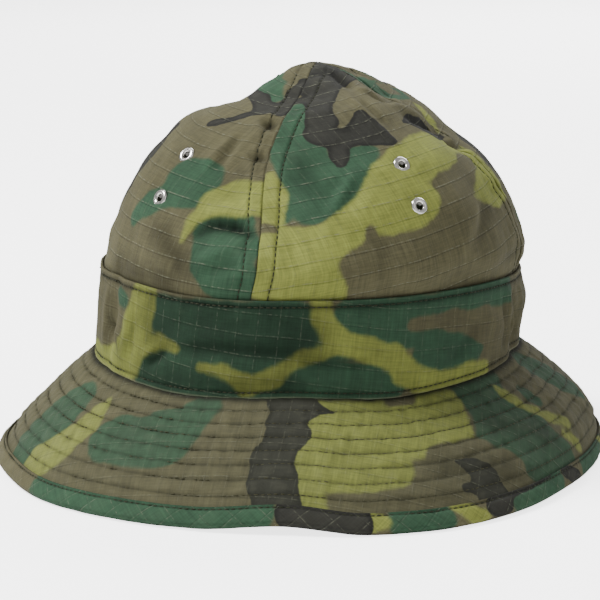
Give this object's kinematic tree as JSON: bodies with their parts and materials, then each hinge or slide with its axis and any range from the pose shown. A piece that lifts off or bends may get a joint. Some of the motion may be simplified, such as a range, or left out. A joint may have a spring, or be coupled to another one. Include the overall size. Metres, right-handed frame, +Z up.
{
  "type": "bush hat",
  "caption": "Soft cloth bush hat with a panelled crown, a band, metal vent eyelets and a sloping brim with a bound edge, in woodland camouflage.",
  "frame": {"origin": "on the surface that the hat rests on, under the middle of the brim's outline", "axes": "+Z up through the crown, -Y toward the front of the hat as worn, +X toward the wearer's left"},
  "size_m": [0.2572, 0.2892, 0.1645],
  "materials": {
    "ripstop_cloth": "camouflage-printed ripstop cotton, matt",
    "quilted_cloth": "camouflage-printed ripstop cotton, quilted in level rows",
    "binding_cloth": "camouflage-printed ripstop cotton cut on the bias",
    "eyelet_metal": "bright nickel plate"
  },
  "bodies": {
    "root": {"crown_front_right": "ripstop_cloth", "crown_back_right": "ripstop_cloth", "crown_back_left": "ripstop_cloth", "crown_front_left": "ripstop_cloth", "band": "ripstop_cloth", "brim": "quilted_cloth", "brim_binding": "binding_cloth", "eyelet_left_upper": "eyelet_metal", "eyelet_left_lower": "eyelet_metal", "eyelet_right_upper": "eyelet_metal", "eyelet_right_lower": "eyelet_metal"}
  },
  "joints": []
}
